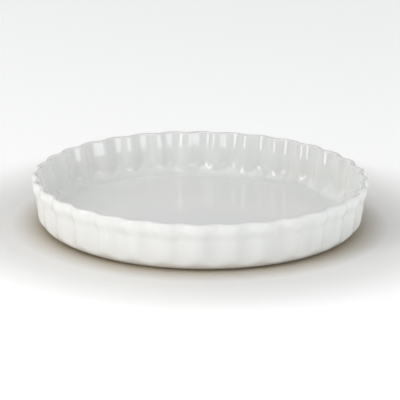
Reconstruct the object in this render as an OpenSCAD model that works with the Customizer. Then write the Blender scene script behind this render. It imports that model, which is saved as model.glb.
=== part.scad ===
// Round fluted baking dish for open tarts, fired in one piece.
// The origin is the centre of the face it stands on, and +Z points up.

/* [Dish] */
// Diameter across the rim, from lobe tip to lobe tip
dish_d = 280; // [260:1:310]
// Height from the table to the top of the rim
dish_h = 41; // [38:0.5:55]
// Thickness of the fluted wall
wall_t = 4.4; // [4:0.1:5.4]
// Height of the inside floor above the table
floor_z = 5; // [4:0.1:7]

/* [Flutes] */
// Number of flutes round the wall
flute_count = 32; // [30:1:34]
// Depth of a flute, from lobe tip to valley bottom
flute_depth = 2.8; // [2.4:0.1:3.4]
// Radius of a lobe at the rim, seen from above
lobe_r = 17; // [15:0.5:18]
// Angle of the first lobe tip, measured from +X
first_lobe = 10.8; // [0:0.1:12]
// Radius of the hollow behind a lobe, inside at the rim
hollow_r = 15; // [13:0.5:17]
// Radius of the ridge between two hollows, inside at the rim
ridge_r = 10; // [8:0.5:12]

/* [Rim] */
// How far the rim stands out past the top of the plain wall
flare_out = 3; // [1:0.1:4]
// Height over which the wall bends out to the rim
flare_h = 11; // [8:0.5:14]
// Height of the upright band above the flare
band_h = 3.6; // [2:0.1:5]
// Height over which the inside leans out to the rim, in one straight slope
lean_h = 11.5; // [8:0.5:14]
// Radius of the rounded edges on top of the rim
rim_r = 1.9; // [1.2:0.1:1.9]

/* [Lower wall] */
// Draft of the plain wall, in degrees
draft = 5; // [2:0.5:8]
// Radius of the outer corner under the wall
corner_r = 17; // [14:0.5:18]
// Radius of the inner cove between wall and floor
cove_r = 11.5; // [7:0.5:12]

/* [Foot] */
// How far the foot's outer edge lies inside the wall above the corner
foot_in = 10.7; // [9:0.1:12]
// Width of the foot ring
foot_w = 6.5; // [4:0.5:9]
// Depth of the shallow recess inside the foot ring
foot_recess = 1.2; // [0.5:0.1:2]

/* [Hidden] */
// Each curve in the wall's section is drawn in this many steps
flare_steps = 4;
rim_steps = 3;
lean_steps = 2;
// The soft bend below the inside's lean reaches this far up and down
lean_bend = 2;
// How deep curved surfaces that meet run into each other, so that they cross cleanly
bite = 0.1;
lap = 0.15;
// How far an arc runs on past the point where it meets its neighbour, in degrees:
// a lobe's arc ends inside the overlap that bite gives, a valley's goes on past it
lobe_spare = 2.5;
valley_spare = 5;
// How far the star's teeth reach from its notches towards the valley centres
tooth_share = 0.75;
// Extra length on cutters, past the solid that they cut
over = 2;
$fn = 96;

tip_r = dish_d / 2;
half_pitch = 180 / flute_count;
lobe_centre = tip_r - lobe_r;
valley_floor = tip_r - flute_depth;
// The valley arc is the one that nearly touches both neighbouring lobe arcs
touch_r = lobe_r - bite;
valley_r = (pow(lobe_centre, 2) + pow(valley_floor, 2) - pow(touch_r, 2)
    - 2 * lobe_centre * valley_floor * cos(half_pitch))
    / (2 * (touch_r + lobe_centre * cos(half_pitch) - valley_floor));

// Heights at which the rounded edges, the band and, below it, the flare begin
edge_z = dish_h - rim_r;
band_z = edge_z - band_h;
flare_z = band_z - flare_h;
// Height at which the inside begins to lean out
lean_z = edge_z - lean_h;
// Heights at which the outer corner and the inner cove pass into the wall
corner_z = sqrt(pow(corner_r, 2) - pow(corner_r - foot_in, 2));
cove_z = floor_z + cove_r;
// Widest radius of the corner, of the cove and of the foot
corner_side = tip_r + wall_offset(corner_z) + lap;
cove_side = tip_r + wall_offset(cove_z) - wall_t + lap;
foot_r = corner_side - foot_in;

// How far the wall lies inside the rim's outline at a height below the flare
function wall_offset(z) = -flare_out - (flare_z - z) * tan(draft);

// Points of the flare: a smooth bend from the drafted wall to the upright band
function flare() = [
    for (i = [0 : flare_steps])
        let (t = i / flare_steps)
        [-flare_out * (1 + cos(180 * t)) / 2, flare_z + flare_h * t]
];

// Points of a rounded edge, from upright to level, turning towards side
function rim_edge(side) = [
    for (i = [1 : rim_steps])
        let (a = 90 * i / rim_steps)
        [side * rim_r * (1 - cos(a)), edge_z + rim_r * sin(a)]
];

// Points of the inside's soft bend, from the drafted wall to the lean
function lean_points() =
    let (
        low = [wall_offset(lean_z - lean_bend), lean_z - lean_bend],
        corner = [wall_offset(lean_z), lean_z],
        high = corner + lean_bend / lean_h * ([0, edge_z] - corner)
    )
    [
        for (i = [0 : lean_steps])
            let (t = i / lean_steps)
            pow(1 - t, 2) * low + 2 * t * (1 - t) * corner + pow(t, 2) * high
    ];

// Outer section of the wall as [offset from the rim's outline, height]
outer_section = concat(
    [[wall_offset(0), 0]],
    flare(),
    [[0, edge_z]],
    rim_edge(-1)
);

// Inner section as [offset from the inside's outline, height], to above the rim
inner_section = concat(
    [[wall_offset(floor_z - over), floor_z - over]],
    lean_points(),
    [[0, edge_z]],
    rim_edge(1),
    [[rim_r, dish_h + over]]
);

// Point at a distance from the axis, a number of half pitches round
function around(r, steps) = r * [cos(steps * half_pitch), sin(steps * half_pitch)];

// Distance from the axis to the centre of a valley that nearly touches two lobes
function valley_centre(tip, lobe_r, valley_r) =
    let (centre = around(tip - lobe_r, 1))
    centre[0] + sqrt(pow(lobe_r + valley_r - bite, 2) - pow(centre[1], 2));

// A fluted block whose outline follows a section all the way round:
// arcs about the valley centres are cut from a star, and lobes fill its notches
module fluted(section, tip, lobe_r, valley_r) {
    lobe_centre = tip - lobe_r;
    valley_centre = valley_centre(tip, lobe_r, valley_r);
    tooth = around(valley_centre, 1);
    // Half the angles that a lobe's and a valley's arc span, seen from their centres
    lobe_half = atan2(tooth[1], tooth[0] - lobe_centre);
    valley_half = lobe_half - half_pitch;
    low = section[0][1];
    high = section[len(section) - 1][1];
    difference() {
        translate([0, 0, low])
            linear_extrude(high - low)
                star(lobe_centre + over, valley_centre);
        for (i = [0 : flute_count - 1])
            rotate([0, 0, (2 * i + 1) * half_pitch])
                translate([valley_centre, 0, 0])
                    valley_cutter(section, valley_r, valley_half + valley_spare);
    }
    for (i = [0 : flute_count - 1])
        rotate([0, 0, 2 * i * half_pitch])
            translate([lobe_centre, 0, 0])
                lobe(section, lobe_r, lobe_half + lobe_spare);
}

// Notches under the lobes, with teeth between them that reach part of the way
// towards the valley centres
module star(notch_r, valley_centre) {
    polygon([
        for (i = [0 : flute_count - 1], side = [-1 : 1])
            let (notch = around(notch_r, 2 * i))
            side == 0
                ? notch
                : notch + tooth_share * (around(valley_centre, 2 * i + side) - notch)
    ]);
}

module valley_cutter(section, valley_r, spread) {
    first = section[0];
    last = section[len(section) - 1];
    rotate_extrude(angle = 2 * spread, start = 180 - spread)
        polygon(concat(
            [[0, first[1] - over], [valley_r - first[0], first[1] - over]],
            [for (p = section) [valley_r - p[0], p[1]]],
            [[valley_r - last[0], last[1] + over], [0, last[1] + over]]
        ));
}

module lobe(section, lobe_r, spread) {
    rotate_extrude(angle = 2 * spread, start = -spread)
        polygon(concat(
            [[0, section[0][1]]],
            [for (p = section) [lobe_r + p[0], p[1]]],
            [[0, section[len(section) - 1][1]]]
        ));
}

// Everything inside the rounded corner that the flutes run out on
module corner_envelope() {
    rotate_extrude() {
        intersection() {
            translate([corner_side - corner_r, corner_z])
                circle(corner_r);
            square([dish_d, dish_h]);
        }
        polygon([
            [0, 0], [foot_r - over, 0], [corner_side - over, corner_z - over],
            [corner_side - lap, corner_z + lap], [dish_d, dish_h + over], [0, dish_h + over]
        ]);
    }
}

// The round floor and cove, which the flutes run down to inside
module cove_envelope() {
    rotate_extrude() {
        translate([cove_side - cove_r, cove_z])
            circle(cove_r);
        polygon([
            [0, floor_z], [cove_side - cove_r, floor_z], [cove_side - lap, cove_z + lap],
            [dish_d, dish_h + 2 * over], [0, dish_h + 2 * over]
        ]);
    }
}

// The underside stands up a little from the table inside the foot ring
module foot_recess_cutter() {
    translate([0, 0, -over])
        cylinder(r = foot_r - foot_w, h = over + foot_recess);
}

module dish() {
    color("white")
        rotate([0, 0, first_lobe])
            difference() {
                intersection() {
                    fluted(outer_section, tip_r, lobe_r, valley_r);
                    corner_envelope();
                }
                intersection() {
                    fluted(inner_section, tip_r - wall_t, hollow_r, ridge_r);
                    cove_envelope();
                }
                foot_recess_cutter();
            }
}

dish();
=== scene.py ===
# %% [markdown]
# # A fluted tart dish in white porcelain
# The real object is one piece of porcelain: a round, shallow baking dish with a
# fluted wall, for open tarts and quiches. It was pressed into a plaster mould,
# sponged smooth at the rim, dipped in a clear glossy glaze and fired.
#
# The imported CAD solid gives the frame: where the dish stands and how large it
# is. This lesson works the same dish out again as one fine, smooth surface,
# gives it a glaze, and lights it as a product photograph is lit. Lengths of the
# dish are in millimetres in the code, and become metres when the mesh is made.

# %% Open the frame
import math

import bpy
import numpy as np
from mathutils import Matrix, Vector


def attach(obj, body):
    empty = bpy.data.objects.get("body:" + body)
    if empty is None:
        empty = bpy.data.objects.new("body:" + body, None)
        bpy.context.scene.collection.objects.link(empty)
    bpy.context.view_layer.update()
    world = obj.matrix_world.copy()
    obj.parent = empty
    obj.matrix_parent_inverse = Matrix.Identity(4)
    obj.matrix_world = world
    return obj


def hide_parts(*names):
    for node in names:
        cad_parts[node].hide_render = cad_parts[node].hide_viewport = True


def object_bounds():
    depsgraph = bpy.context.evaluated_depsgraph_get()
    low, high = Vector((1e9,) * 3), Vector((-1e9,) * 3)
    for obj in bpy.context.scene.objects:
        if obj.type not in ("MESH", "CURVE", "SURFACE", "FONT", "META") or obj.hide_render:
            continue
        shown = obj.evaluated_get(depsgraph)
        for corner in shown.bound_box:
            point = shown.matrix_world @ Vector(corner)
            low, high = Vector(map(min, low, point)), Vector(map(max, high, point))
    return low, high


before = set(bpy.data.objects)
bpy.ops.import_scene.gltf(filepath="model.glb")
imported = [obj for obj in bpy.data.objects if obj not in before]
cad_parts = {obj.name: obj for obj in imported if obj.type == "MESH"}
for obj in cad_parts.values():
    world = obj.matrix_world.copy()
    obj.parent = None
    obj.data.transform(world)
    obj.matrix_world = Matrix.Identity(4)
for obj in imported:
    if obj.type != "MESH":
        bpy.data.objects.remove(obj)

MM = 0.001
cad_low, cad_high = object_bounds()
RIM_RADIUS = round((cad_high[0] - cad_low[0]) / 2 / MM, 2)
DISH_HEIGHT = round((cad_high[2] - cad_low[2]) / MM, 2)
print("CAD nodes:", sorted(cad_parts))
print("CAD box in mm:", [round(v / MM, 2) for v in (*cad_low, *cad_high)])
print("radius over the lobes", RIM_RADIUS, "mm, height", DISH_HEIGHT, "mm")

# %% [markdown]
# ## The camera
# The photograph looks down at the dish by about 17 degrees, from far away with
# a long lens, so the near and the far side of the rim are almost the same
# width. The camera is placed first, because every later step is judged through
# it. It could be aimed with a Track To constraint, but a plain matrix says
# exactly where it is: tilt it down, roll it a little about its own axis, and
# step back from the middle of the dish.

# %% Place the camera
LOOK_DOWN = math.radians(16.84)
ROLL = math.radians(0.665)
DISTANCE = 2.7328
LENS = 295.7
SHIFT_ACROSS, SHIFT_UP = -0.0003, -0.00205


def make_camera():
    """A camera DISTANCE metres from the middle of the dish, looking along +Y and down by LOOK_DOWN."""
    data = bpy.data.cameras.new("camera")
    data.lens = LENS
    data.shift_x, data.shift_y = SHIFT_ACROSS, SHIFT_UP
    camera = bpy.data.objects.new("camera", data)
    bpy.context.scene.collection.objects.link(camera)
    middle = Vector((0, 0, DISH_HEIGHT / 2 * MM))
    back = Vector((0, -math.cos(LOOK_DOWN), math.sin(LOOK_DOWN)))
    turn = Matrix.Rotation(math.pi / 2 - LOOK_DOWN, 4, "X") @ Matrix.Rotation(ROLL, 4, "Z")
    camera.matrix_world = Matrix.Translation(middle + DISTANCE * back) @ turn
    bpy.context.scene.camera = camera
    return camera


camera = make_camera()
print("camera at", [round(v, 3) for v in camera.matrix_world.translation], "lens", round(camera.data.lens, 1))

# %% [markdown]
# ## The flutes, seen from above
# The wall's outline is a chain of arcs: a round lobe that bulges out, then a
# round valley that dips in, 32 times. A sine wave would be quicker to write,
# but its lobes are the wrong shape as soon as the wall leans. With arcs it is
# easy to move the wall: an arc that moves outward only gets a larger radius (a
# lobe) or a smaller one (a valley), and its centre stays.
#
# The inside has arcs of its own. It is shaped by a second mould with nearly the
# same wave, so the ridges inside come out narrower than the valleys outside
# would make them, and the wall is a little thicker there. The streaks of light
# inside the photographed dish show it: the narrower the ridge, the closer its
# streak lies to the streaks of the hollows beside it.

# %% Outlines of the wall
FLUTES = 32
FIRST_LOBE = math.radians(10.8)
HALF_PITCH = math.pi / FLUTES
WALL = 4.4
COLUMNS_PER_FLUTE = 24
COLUMNS = FLUTES * COLUMNS_PER_FLUTE
# The direction of each column of points, seen from the axis.
angles = np.arange(COLUMNS) * 2 * np.pi / COLUMNS


def chain_of_arcs(tip, lobe, valley):
    """Lobe and valley arcs of given radii, with the lobes' tips at the distance tip from the axis.

    Arcs touch when their centres are as far apart as their radii together, which gives the
    valley's centre: c cos h plus the root of (lobe + valley)^2 - (c sin h)^2, where c is the
    distance of the lobe's centre and h is half the angle from one lobe to the next.
    """
    lobe_centre = tip - lobe
    across = lobe_centre * math.sin(HALF_PITCH)
    valley_centre = lobe_centre * math.cos(HALF_PITCH) + math.sqrt((lobe + valley) ** 2 - across**2)
    return lobe, valley, lobe_centre, valley_centre


def outline_radius(arcs, offset):
    """Distance from the axis to a chain of arcs in each column's direction, moved out by offset.

    A ray from the axis meets a circle of radius r, whose centre is c away and b aside in angle,
    at c cos b plus (lobe, far side) or minus (valley, near side) the root of r^2 - (c sin b)^2.
    """
    lobe, valley, lobe_centre, valley_centre = arcs
    from_lobe = np.abs((angles - FIRST_LOBE + HALF_PITCH) % (2 * HALF_PITCH) - HALF_PITCH)
    from_valley = HALF_PITCH - from_lobe
    # Direction of the point where the arcs touch, on the line between their centres.
    reach = (lobe + offset) / (lobe + valley)
    touch_x = lobe_centre + reach * (valley_centre * math.cos(HALF_PITCH) - lobe_centre)
    touch_y = reach * valley_centre * math.sin(HALF_PITCH)
    on_lobe = from_lobe <= np.arctan2(touch_y, touch_x)
    beside_lobe = (lobe + offset) ** 2 - (lobe_centre * np.sin(from_lobe)) ** 2
    beside_valley = (valley - offset) ** 2 - (valley_centre * np.sin(from_valley)) ** 2
    far = lobe_centre * np.cos(from_lobe) + np.sqrt(np.maximum(beside_lobe, 0))
    near = valley_centre * np.cos(from_valley) - np.sqrt(np.maximum(beside_valley, 0))
    return np.where(on_lobe, far, near)


OUTER_ARCS = chain_of_arcs(tip=RIM_RADIUS, lobe=17.0, valley=17.0)
INNER_ARCS = chain_of_arcs(tip=RIM_RADIUS - WALL, lobe=15.0, valley=10.0)
for side, arcs in (("outside", OUTER_ARCS), ("inside", INNER_ARCS)):
    rim = outline_radius(arcs, 0.0)
    print(side, "at the rim: from", rim.min().round(2), "to", rim.max().round(2), "mm")

# %% [markdown]
# ## The section of the wall
# Cut through a lobe, the wall stands on a big round corner, leans out by five
# degrees, bends out to the rim in a soft S, and ends in an upright band with a
# rounded lip. Inside, one straight slope leads down from the lip to the wall,
# which goes down beside the outer one to a round cove and the flat floor. A
# lathe (the Screw modifier) could turn such a section, but then the flutes
# would be missing, so each height gets its own outline instead.
#
# The corner outside is round, without flutes. It wins where it lies further in
# than the fluted wall, which is why the flutes end there. A plain minimum would
# leave a sharp crease. The glaze fills such creases, so a soft minimum is used,
# which rounds them by a chosen amount. Inside, the flutes run out more gently:
# they get shallower all the way down the cove, until the floor's edge is round.

# %% Heights and widths along the section
DRAFT = math.tan(math.radians(5))
# From the top down: the rounded lip, the upright band, and the flare that reaches out to it.
LIP_HEIGHT, BAND_HEIGHT, FLARE_HEIGHT, FLARE_OUT = 1.9, 3.6, 11.0, 3.0
LIP_FROM = DISH_HEIGHT - LIP_HEIGHT
FLARE_TO = LIP_FROM - BAND_HEIGHT
FLARE_FROM = FLARE_TO - FLARE_HEIGHT
# The straight slope inside reaches down this far from the lip, to a softly rounded bend.
SLOPE_HEIGHT, SLOPE_BEND = 11.5, 0.6
SLOPE_FROM = LIP_FROM - SLOPE_HEIGHT
# The corner is a circle, CORNER_SIDE from the axis at its widest, which is at the height CORNER_TOP.
# It begins on the table, FOOT_INSET further in.
CORNER_RADIUS, CORNER_SIDE, FOOT_INSET = 17.0, 136.39, 10.7
CORNER_TOP = round(math.sqrt(CORNER_RADIUS**2 - (CORNER_RADIUS - FOOT_INSET) ** 2), 2)
# The corner swells by CORNER_SWELL on the way from the table up to SWELL_TO.
CORNER_SWELL, SWELL_TO = 0.25, 8.0
# Above CORNER_TOP its outline leaves the wall as a parabola that bends with this radius.
LEAVING_RADIUS = 12.0
# The flutes run out on the corner in a crease that is rounded this wide.
CREASE = 1.4
# Inside: the floor's height, the radius where it ends, and how high the cove rises from there.
FLOOR, FLOOR_EDGE, COVE_HEIGHT = 5.0, 120.5, 11.5


def soft_min(first, second, width):
    """The smaller of the two, rounded off where they are closer together than width.

    There it is the smaller one less width / 4 times the square of (1 - their difference / width).
    """
    share = np.clip(1 - np.abs(first - second) / width, 0, 1)
    return np.minimum(first, second) - width / 4 * share**2


def drafted(z):
    """How far a plain wall, five degrees off upright, lies inside the rim's outline at height z."""
    return -FLARE_OUT - (FLARE_FROM - z) * DRAFT


def lean_outside(z):
    """The plain wall, then half a cosine wave out to the rim, then an upright band."""
    rise = np.clip((z - FLARE_FROM) / (FLARE_TO - FLARE_FROM), 0, 1)
    return np.minimum(drafted(z), -FLARE_OUT) + FLARE_OUT * (1 - np.cos(np.pi * rise)) / 2


def lean_inside(z):
    """The plain wall, then a straight slope out to the lip. The bend between them is rounded."""
    slope = drafted(SLOPE_FROM) * (LIP_FROM - z) / (LIP_FROM - SLOPE_FROM)
    return -soft_min(-drafted(z), -slope, SLOPE_BEND)


def corner(z):
    """Radius of the round corner under the wall: a circle up to CORNER_TOP, then a parabola outward."""
    below = np.clip(CORNER_TOP - z, 0, CORNER_RADIUS)
    above = np.clip(z - CORNER_TOP, 0, None)
    circle = CORNER_SIDE - CORNER_RADIUS + np.sqrt(CORNER_RADIUS**2 - below**2)
    return circle + above**2 / (2 * LEAVING_RADIUS) + CORNER_SWELL * np.clip(z / SWELL_TO, 0, 1)


def outside(z):
    """Radius of the outer surface at the heights z, one row for each height."""
    z = z[:, None]
    return soft_min(outline_radius(OUTER_ARCS, lean_outside(z)), corner(z), CREASE)


def inside(z):
    """Radius of the inner surface at the heights z, one row for each height.

    Above the cove it is the fluted outline. In the cove it is an ellipse, a quarter of it from the
    floor's edge up to the wall, with a share of the flutes that falls from 1 to 0 on the way down.
    """
    z = z[:, None]
    fluted = outline_radius(INNER_ARCS, lean_inside(z))
    middle = fluted.mean(axis=1, keepdims=True)
    below = np.clip((FLOOR + COVE_HEIGHT - z) / COVE_HEIGHT, 0, 1)
    round_part = FLOOR_EDGE + (middle - FLOOR_EDGE) * np.sqrt(1 - below**2)
    return round_part + (fluted - middle) * (1 - below**2) ** 1.5


levels = np.linspace(0, LIP_FROM, 7).round(1)
widths = outside(levels).max(axis=1).round(2)
print("the corner is widest at", CORNER_TOP, "mm, the flare goes from", FLARE_FROM, "to", FLARE_TO, "mm")
print("outer radius over a lobe in mm, by height:", dict(zip(levels.tolist(), widths.tolist())))

# %% [markdown]
# ## The whole skin, from the middle of the foot to the middle of the floor
# The skin is one grid. Its columns run round the dish, and its rows follow the
# section: across the recess underneath, over the unglazed foot ring, round the
# corner, up the wall, over the lip, down inside, round the cove and across the
# floor. Rows lie close together where the section bends, and far apart where
# it is flat. Each end closes in one point.

# %% Rows of the skin
FOOT_WIDTH, RECESS = 6.5, 1.2
FOOT_OUTER = round(CORNER_SIDE - FOOT_INSET, 2)
FOOT_INNER = round(FOOT_OUTER - FOOT_WIDTH, 2)
# The radius of the two rounded edges of the recess.
EASE = 0.45
EASE_ROWS, CORNER_ROWS, WALL_ROWS, LIP_ROWS, SLOPE_ROWS, COVE_ROWS = 4, 22, 20, 16, 19, 18
# In degrees: how far below its widest point the corner begins, and how far the lip turns over.
CORNER_TURN, LIP_TURN = 66, 168
# The slope inside takes over from the lip this far above LIP_FROM.
SLOPE_START = 0.38
RECESS_RADII = [22, 46, 68, 87, 102, 112, FOOT_INNER - 1]
# The ring is flat, and lifts a little off the table at its outer edge.
RING_RADII = [FOOT_INNER + EASE, 121, 122.5, 124, FOOT_OUTER - 0.5, FOOT_OUTER - 0.1, FOOT_OUTER + 0.35]
RING_HEIGHTS = [0, 0, 0, 0, 0, 0.01, 0.12]
FLOOR_RADII = [FLOOR_EDGE, 119, 114, 106, 95, 82, 68, 54, 40, 26, 13]


def arc(steps, start, end):
    """Cosine and sine of evenly spaced angles from start to end, in degrees, without the end itself."""
    turned = np.radians(np.linspace(start, end, steps, endpoint=False))
    return np.cos(turned), np.sin(turned)


def plain_rows(radii, heights):
    """Rows that are circles: one radius and one height each."""
    radii, heights = np.broadcast_arrays(np.asarray(radii, float), np.asarray(heights, float))
    return np.repeat(radii[:, None], COLUMNS, 1), np.repeat(heights[:, None], COLUMNS, 1)


def fluted_rows(surface, heights):
    """Rows at the given heights that follow a fluted surface."""
    heights = np.asarray(heights, float)
    return surface(heights), np.repeat(heights[:, None], COLUMNS, 1)


def lip_rows():
    """Half an ellipse over the top of the wall, from the outer band to where the slope inside meets it."""
    across, up = arc(LIP_ROWS, 0, LIP_TURN)
    outer, inner = outline_radius(OUTER_ARCS, 0.0), outline_radius(INNER_ARCS, 0.0)
    radii = (outer + inner) / 2 + across[:, None] * (outer - inner) / 2
    return radii, np.repeat((LIP_FROM + LIP_HEIGHT * up)[:, None], COLUMNS, 1)


roof_across, roof_up = arc(EASE_ROWS, 90, 0)
edge_across, edge_up = arc(EASE_ROWS, 0, 90)
corner_heights = CORNER_TOP - CORNER_RADIUS * arc(CORNER_ROWS, CORNER_TURN, 0)[1]
wall_heights = np.linspace(CORNER_TOP, LIP_FROM, WALL_ROWS, endpoint=False)
slope_heights = np.linspace(LIP_FROM + SLOPE_START, FLOOR + COVE_HEIGHT, SLOPE_ROWS, endpoint=False)
cove_heights = FLOOR + COVE_HEIGHT * (1 - arc(COVE_ROWS, 0, 90)[1])
stretches = [
    plain_rows(RECESS_RADII, RECESS),
    plain_rows(FOOT_INNER - EASE + EASE * roof_across, RECESS - EASE + EASE * roof_up),
    plain_rows(FOOT_INNER + EASE - EASE * edge_across, EASE - EASE * edge_up),
    plain_rows(RING_RADII, RING_HEIGHTS),
    fluted_rows(outside, corner_heights[1:]),
    fluted_rows(outside, wall_heights),
    lip_rows(),
    fluted_rows(inside, slope_heights),
    fluted_rows(inside, cove_heights),
    plain_rows(FLOOR_RADII, FLOOR),
]
radius = np.concatenate([rows[0] for rows in stretches])
height = np.concatenate([rows[1] for rows in stretches])
print("foot ring from", FOOT_INNER, "to", FOOT_OUTER, "mm")
print("skin:", radius.shape[0], "rows of", radius.shape[1], "columns;", 2 * radius.size, "triangles")

# %% [markdown]
# ## Small hand-made errors
# A pressed and fired dish is never quite round. The wall pulls in a little
# here and there as it dries, and the rim is sponged by hand. Waves round the
# dish of less than half a millimetre are enough to make the highlights on the
# flutes differ from each other. They only ever point inward and down, so the
# dish never grows out of the box that the CAD solid gives it.

# %% Let the wall and the rim wander
SLOW_PULL, QUICK_PULL, SAG = 0.35, 0.16, 0.25
# The foot and the floor stay still: the waves begin at this height and this far from the axis.
STILL_HEIGHT, STILL_RADIUS, GROWS_OVER = 2, 100, 20
wander_rng = np.random.default_rng(7)


def wander(orders, depth):
    """A sum of cosine waves round the dish with random phases, between 0 and depth."""
    phases = wander_rng.uniform(0, 2 * np.pi, len(orders))
    waves = sum((1 + np.cos(order * angles + phase)) / 2 for order, phase in zip(orders, phases))
    return depth * waves / len(orders)


pull_in = wander((2, 3, 5), SLOW_PULL) + wander((7, 11, 19, 23), QUICK_PULL)
sag = wander((2, 3, 7), SAG)
# The waves grow from nothing near the table to their full depth at the rim, the sag last of all.
share_up = np.clip((height - STILL_HEIGHT) / (DISH_HEIGHT - STILL_HEIGHT), 0, 1)
share = share_up**1.5 * np.clip((radius - STILL_RADIUS) / GROWS_OVER, 0, 1)
radius = radius - pull_in[None, :] * share
height = height - sag[None, :] * share**3
print("wall pulled in by up to", pull_in.max().round(3), "mm")
print("rim lowered by up to", sag.max().round(3), "mm")

# %% [markdown]
# ## From rows to a mesh
# Each point joins its neighbour in the row and the two points beside them in
# the next row, so every square of the grid is one face. At both ends a fan of
# triangles round one point closes the skin, and no hole is left. Blender could
# also grow such a mesh step by step with bmesh, but numpy works out all its
# faces at once. The finished skin takes the place of the CAD solid and rides on
# its body.

# %% Make the mesh of the skin


def skin_mesh(name, radius, height):
    """A closed mesh from rows of points round the axis: quads between rows, and a fan at each end."""
    rows, columns = radius.shape
    ring = np.stack([radius * np.cos(angles), radius * np.sin(angles), height], axis=-1).reshape(-1, 3)
    first, last = [0, 0, height[0].mean()], [0, 0, height[-1].mean()]
    points = np.concatenate([[first], ring, [last]]) * MM
    index = 1 + np.arange(rows * columns).reshape(rows, columns)
    ahead = np.roll(index, -1, axis=1)
    quads = np.stack([index[:-1], ahead[:-1], ahead[1:], index[1:]], axis=-1).reshape(-1, 4)
    start = np.stack([np.zeros(columns, int), ahead[0], index[0]], axis=-1)
    end = np.stack([np.full(columns, rows * columns + 1), index[-1], ahead[-1]], axis=-1)
    mesh = bpy.data.meshes.new(name)
    mesh.from_pydata(points.tolist(), [], quads.tolist() + start.tolist() + end.tolist())
    mesh.shade_smooth()
    return mesh


dish = bpy.data.objects.new("fluted_dish", skin_mesh("fluted_dish", radius, height))
bpy.context.scene.collection.objects.link(dish)
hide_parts("dish")
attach(dish, "root")
print("dish:", len(dish.data.vertices), "points,", len(dish.data.polygons), "faces")

# %% [markdown]
# ## Where the glaze is thick, thin or missing
# Before the fire, liquid glaze creeps off sharp edges and gathers in hollows.
# So it is thin and a touch warmer on the lip, thick and a touch cooler in the
# cove and the recess underneath, and wiped off the foot ring, which would
# otherwise stick to the kiln shelf. These places follow the form and not any
# pattern in space, so each is written to the mesh as one number for a point,
# and the material reads it by name.

# %% Write the glaze's places on the mesh
# How far the glaze is thin down from the rim, and how far it is thick up from the floor and from
# POOL_FROM on outward. Underneath it is thick in the corner between the recess and the foot ring.
THIN_REACH = 2.4
POOL_REACH, POOL_FROM, POOL_TO = 6, 112, 120
RECESS_POOL_DEPTH, RECESS_POOL_WIDTH = 0.4, 9
# The foot ring is bare from BARE_FROM to BARE_TO, up to BARE_HEIGHT. The glaze ends over GLAZE_END.
BARE_FROM, BARE_TO, BARE_HEIGHT = FOOT_INNER + 0.1, FOOT_OUTER + 0.6, 0.35
GLAZE_END = 1 / 3


def bump_at(values, middle, width):
    """1 at middle, falling smoothly to 0 at width away from it."""
    return np.clip(1 - ((values - middle) / width) ** 2, 0, 1) ** 2


def write_places(mesh, **places):
    """Each keyword becomes a named number on the mesh's points. An end point takes the nearest row's mean."""
    for name, values in places.items():
        column = np.concatenate([[values[0].mean()], values.ravel(), [values[-1].mean()]])
        mesh.attributes.new(name, "FLOAT", "POINT").data.foreach_set("value", column.astype(np.float32))
        print(name, "covers", round(100 * float((values > 0.5).mean()), 1), "% of the points")


top = DISH_HEIGHT - sag[None, :]
upper_side = np.arange(radius.shape[0])[:, None] > np.argmax(height[:, 0])
cove_pool = bump_at(height, FLOOR, POOL_REACH) * np.clip((radius - POOL_FROM) / (POOL_TO - POOL_FROM), 0, 1)
recess_pool = bump_at(height, RECESS, RECESS_POOL_DEPTH) * bump_at(radius, FOOT_INNER, RECESS_POOL_WIDTH)
past_inner_edge = np.clip((radius - BARE_FROM) / GLAZE_END, 0, 1)
before_outer_edge = np.clip((BARE_TO - radius) / GLAZE_END, 0, 1)
write_places(
    dish.data,
    thin=bump_at(height, top, THIN_REACH) * np.ones_like(radius),
    pooled=np.where(upper_side, cove_pool, recess_pool),
    bare=np.where(height < BARE_HEIGHT, past_inner_edge * before_outer_edge, 0.0),
)

# %% [markdown]
# ## The glaze
# Clear glaze over a white body is a glossy coat on a pale base. Principled
# BSDF has both in one: a low roughness gives the sharp highlights along the
# flutes, and the base colour is the body under it. Three small things keep it
# from looking like plastic: the white drifts a little between warm and cool,
# the gloss is not the same everywhere, and the surface is very slightly wavy,
# so that highlights on it are not ruled lines. All patterns are measured in
# Object coordinates, which are metres here.

# %% Helpers for materials
# A Mix node has a set of sockets for each kind of value. These are the places of those for colours.
COLOUR_A, COLOUR_B, COLOUR_OUT = 6, 7, 2


def new_material(name):
    """A material with its node tree, and its Principled node."""
    material = bpy.data.materials.new(name)
    material.use_nodes = True
    return material, material.node_tree, material.node_tree.nodes["Principled BSDF"]


def noise(tree, coordinates, scale, detail=2.0):
    """A Noise Texture of about scale waves to the metre."""
    node = tree.nodes.new("ShaderNodeTexNoise")
    node.inputs["Scale"].default_value = scale
    node.inputs["Detail"].default_value = detail
    tree.links.new(coordinates, node.inputs["Vector"])
    return node.outputs["Fac"]


def remap(tree, value, low, high, to_low, to_high):
    """The value, moved from the range low..high to the range to_low..to_high and held inside it."""
    node = tree.nodes.new("ShaderNodeMapRange")
    for socket, number in zip(("From Min", "From Max", "To Min", "To Max"), (low, high, to_low, to_high)):
        node.inputs[socket].default_value = number
    tree.links.new(value, node.inputs["Value"])
    return node.outputs["Result"]


def blend_colour(tree, share, first, second):
    """A colour between first and second. Each of them is a colour or another node's output."""
    node = tree.nodes.new("ShaderNodeMix")
    node.data_type = "RGBA"
    tree.links.new(share, node.inputs["Factor"])
    for socket, colour in ((node.inputs[COLOUR_A], first), (node.inputs[COLOUR_B], second)):
        if isinstance(colour, tuple):
            socket.default_value = (*colour, 1)
        else:
            tree.links.new(colour, socket)
    return node.outputs[COLOUR_OUT]


def blend_value(tree, share, first, second):
    """A number between first (an output) and second (a plain number)."""
    node = tree.nodes.new("ShaderNodeMix")
    node.data_type = "FLOAT"
    tree.links.new(share, node.inputs["Factor"])
    tree.links.new(first, node.inputs["A"])
    node.inputs["B"].default_value = second
    return node.outputs["Result"]


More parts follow.
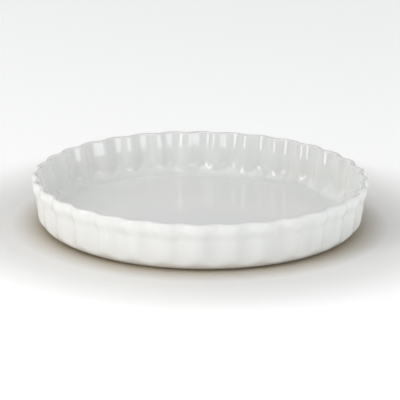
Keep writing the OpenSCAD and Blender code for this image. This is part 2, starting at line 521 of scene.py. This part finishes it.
def place(tree, name):
    """The number that the mesh's points carry under that name."""
    node = tree.nodes.new("ShaderNodeAttribute")
    node.attribute_name = name
    return node.outputs["Fac"]


print("the glaze can read:", [a.name for a in dish.data.attributes if a.data_type == "FLOAT"])

# %% The white glaze
BODY_WARM = (0.930, 0.925, 0.898)
BODY_COOL = (0.903, 0.916, 0.892)
THIN_WHITE = (0.935, 0.928, 0.903)
POOLED_WHITE = (0.886, 0.902, 0.884)
BISCUIT = (0.80, 0.765, 0.705)
GLOSSIEST, DULLEST, BARE_ROUGHNESS = 0.02, 0.055, 0.7
GLAZE_IOR = 1.6


def bump(tree, value, strength, distance):
    """A Bump node that tilts the surface as if the value were its height, up to distance in metres."""
    node = tree.nodes.new("ShaderNodeBump")
    node.inputs["Strength"].default_value = strength
    node.inputs["Distance"].default_value = distance
    tree.links.new(value, node.inputs["Height"])
    return node


def make_glaze():
    """Glossy white glaze: drifting white, uneven gloss, faint waves and pores, and a bare matt foot ring."""
    material, tree, shader = new_material("white_glaze")
    coordinates = tree.nodes.new("ShaderNodeTexCoord").outputs["Object"]
    drift = remap(tree, noise(tree, coordinates, scale=11, detail=3), 0.35, 0.65, 0, 1)
    white = blend_colour(tree, drift, BODY_WARM, BODY_COOL)
    white = blend_colour(tree, place(tree, "thin"), white, THIN_WHITE)
    white = blend_colour(tree, place(tree, "pooled"), white, POOLED_WHITE)
    bare = place(tree, "bare")
    tree.links.new(blend_colour(tree, bare, white, BISCUIT), shader.inputs["Base Color"])
    gloss = remap(tree, noise(tree, coordinates, scale=35), 0.3, 0.7, GLOSSIEST, DULLEST)
    tree.links.new(blend_value(tree, bare, gloss, BARE_ROUGHNESS), shader.inputs["Roughness"])
    shader.inputs["IOR"].default_value = GLAZE_IOR
    waves = bump(tree, noise(tree, coordinates, scale=26, detail=0), strength=0.4, distance=0.001)
    pores = bump(tree, noise(tree, coordinates, scale=900), strength=0.02, distance=0.0002)
    tree.links.new(waves.outputs["Normal"], pores.inputs["Normal"])
    tree.links.new(pores.outputs["Normal"], shader.inputs["Normal"])
    return material


dish.data.materials.append(make_glaze())
print("materials on the dish:", [m.name for m in dish.data.materials])

# %% [markdown]
# ## The floor
# The photograph is a cut-out on white, so the dish stands on a plain pale
# table that is lit a little from below, as a light table is. That keeps the
# background white. Right under the dish and close round it the table gives no
# light of its own, and a painted shadow lies there: the table's colour is made
# darker and warmer round the foot, as a contact shadow would make it. The lower
# wall mirrors and catches this painted shadow, so it is painted shade there too.
# A glow there would wash out the shadow that the dish stands in, and the lower
# wall would shine where it grows warm and dark on the real one. The painted
# shadow and the glow both fade out with the distance from the middle, so they
# look the same from every side.

# %% Lay the floor
GLOW, GLOW_FROM, GLOW_TO = 0.34, 0.16, 0.24
# A painted shadow round the foot: between these distances from the middle the darker, warmer colour fades
# into the pale table.
SHADE_FROM, SHADE_TO = 0.129, 0.158
PALE, PALER = (0.93, 0.915, 0.89), (0.94, 0.93, 0.91)
# The colour of the painted shadow round the foot.
WARM_PAINTED_SHADOW = (0.46, 0.395, 0.30)
GLOW_COLOUR = (0.95, 0.99, 1.0)
TABLE_ROUGHNESS = 0.6
TABLE_HALF, TABLE_LEVEL = 4.0, -0.0002


def make_floor():
    """A flat square just under the dish, eight metres wide, that glows away from its middle and has a painted
    shadow round the foot.
    """
    material, tree, shader = new_material("pale_table")
    coordinates = tree.nodes.new("ShaderNodeTexCoord").outputs["Object"]
    tone = remap(tree, noise(tree, coordinates, scale=3), 0.3, 0.7, 0, 1)
    distance = tree.nodes.new("ShaderNodeVectorMath")
    distance.operation = "LENGTH"
    tree.links.new(coordinates, distance.inputs[0])
    away = remap(tree, distance.outputs["Value"], SHADE_FROM, SHADE_TO, 0, 1)
    # The base colour carries the painted shadow: darker and warmer round the foot, pale further out.
    table_colour_with_painted_shadow = blend_colour(tree, away, WARM_PAINTED_SHADOW, blend_colour(tree, tone, PALE, PALER))
    tree.links.new(table_colour_with_painted_shadow, shader.inputs["Base Color"])
    shader.inputs["Roughness"].default_value = TABLE_ROUGHNESS
    glow = remap(tree, distance.outputs["Value"], GLOW_FROM, GLOW_TO, 0, GLOW)
    tree.links.new(glow, shader.inputs["Emission Strength"])
    shader.inputs["Emission Color"].default_value = (*GLOW_COLOUR, 1)
    mesh = bpy.data.meshes.new("table_top")
    signs = ((-1, -1), (1, -1), (1, 1), (-1, 1))
    corners = [(x * TABLE_HALF, y * TABLE_HALF, TABLE_LEVEL) for x, y in signs]
    mesh.from_pydata(corners, [], [(0, 1, 2, 3)])
    mesh.materials.append(material)
    floor = bpy.data.objects.new("table_top", mesh)
    bpy.context.scene.collection.objects.link(floor)
    return floor


floor = make_floor()
print("floor", floor.name, "at", round(floor.data.vertices[0].co.z / MM, 2), "mm")

# %% [markdown]
# ## Studio light
# The glaze mirrors the studio, so the photograph shows where its lights stood.
# Thin streaks on the flutes inside come from one tall narrow box in front on
# the left. Pale patches on the left wall come from a broad low box on the right
# that ends in a sharp edge, like a window. Weak panels behind the dish show in
# the floor inside, and one large box overhead fills the bowl. A box is given by
# how bright its face looks, because that is what the glaze mirrors; its power
# follows from its size.

# %% Put up the lights


def softbox(name, azimuth, elevation, distance, width, height, brightness, colour=(1, 1, 1)):
    """A rectangular light that faces the dish, at an azimuth turned from +X to +Y.

    Its power is pi times its area times its brightness.
    """
    data = bpy.data.lights.new(name, "AREA")
    data.shape = "RECTANGLE"
    data.size, data.size_y = width, height
    data.energy = math.pi * width * height * brightness
    data.color = colour
    light = bpy.data.objects.new(name, data)
    bpy.context.scene.collection.objects.link(light)
    turned, up = math.radians(azimuth), math.radians(elevation)
    away = Vector((math.cos(turned) * math.cos(up), math.sin(turned) * math.cos(up), math.sin(up)))
    light.location = Vector((0, 0, DISH_HEIGHT * MM)) + distance * away
    light.rotation_euler = away.to_track_quat("Z", "Y").to_euler()
    return light


def sky(brightness, colour):
    """An even soft light from all round."""
    world = bpy.data.worlds.new("studio")
    world.use_nodes = True
    background = world.node_tree.nodes["Background"]
    background.inputs["Color"].default_value = (*colour, 1)
    background.inputs["Strength"].default_value = brightness
    bpy.context.scene.world = world


# Daylight through a window is a touch bluer than the lamps.
COOL = (0.96, 0.98, 1.05)
SKY_BRIGHTNESS, SKY_COLOUR = 0.14, (0.97, 0.99, 1.0)
sky(SKY_BRIGHTNESS, SKY_COLOUR)
# Each line: azimuth and elevation in degrees, distance, width and height in metres, brightness, colour.
lights = [
    softbox("key_left", 224, 22, 1.0, 0.25, 0.85, 4.3),
    softbox("soft_left", 210, 33, 1.5, 0.66, 0.66, 1.35),
    softbox("low_left", 180, 9, 1.5, 0.78, 0.42, 0.1),
    softbox("window_right", 313, 9, 1.5, 1.15, 0.45, 2.7, COOL),
    softbox("right_front", 300, 33, 1.5, 0.7, 0.6, 0.1),
    softbox("right_middle", 332, 36, 1.5, 0.9, 0.6, 1.0),
    softbox("right_far", 5, 33, 1.5, 0.8, 0.6, 1.0),
    softbox("low_right", 0, 9, 1.5, 1.2, 0.45, 0.45),
    softbox("behind_left", 140, 25, 1.5, 1.2, 1.0, 1.0),
    softbox("behind_middle", 90, 21, 1.5, 1.3, 0.5, 0.48, COOL),
    softbox("behind_right", 45, 25, 1.5, 1.2, 1.0, 0.6),
    softbox("overhead", 215, 72, 1.5, 1.2, 1.2, 1.05),
    softbox("high_front", 260, 60, 1.5, 0.9, 0.6, 1.0),
]
print("lights:", {light.name: round(light.data.energy, 2) for light in lights})
# The Standard view transform leaves white as white, where the filmic ones would grey it.
bpy.context.scene.view_settings.view_transform = "Standard"
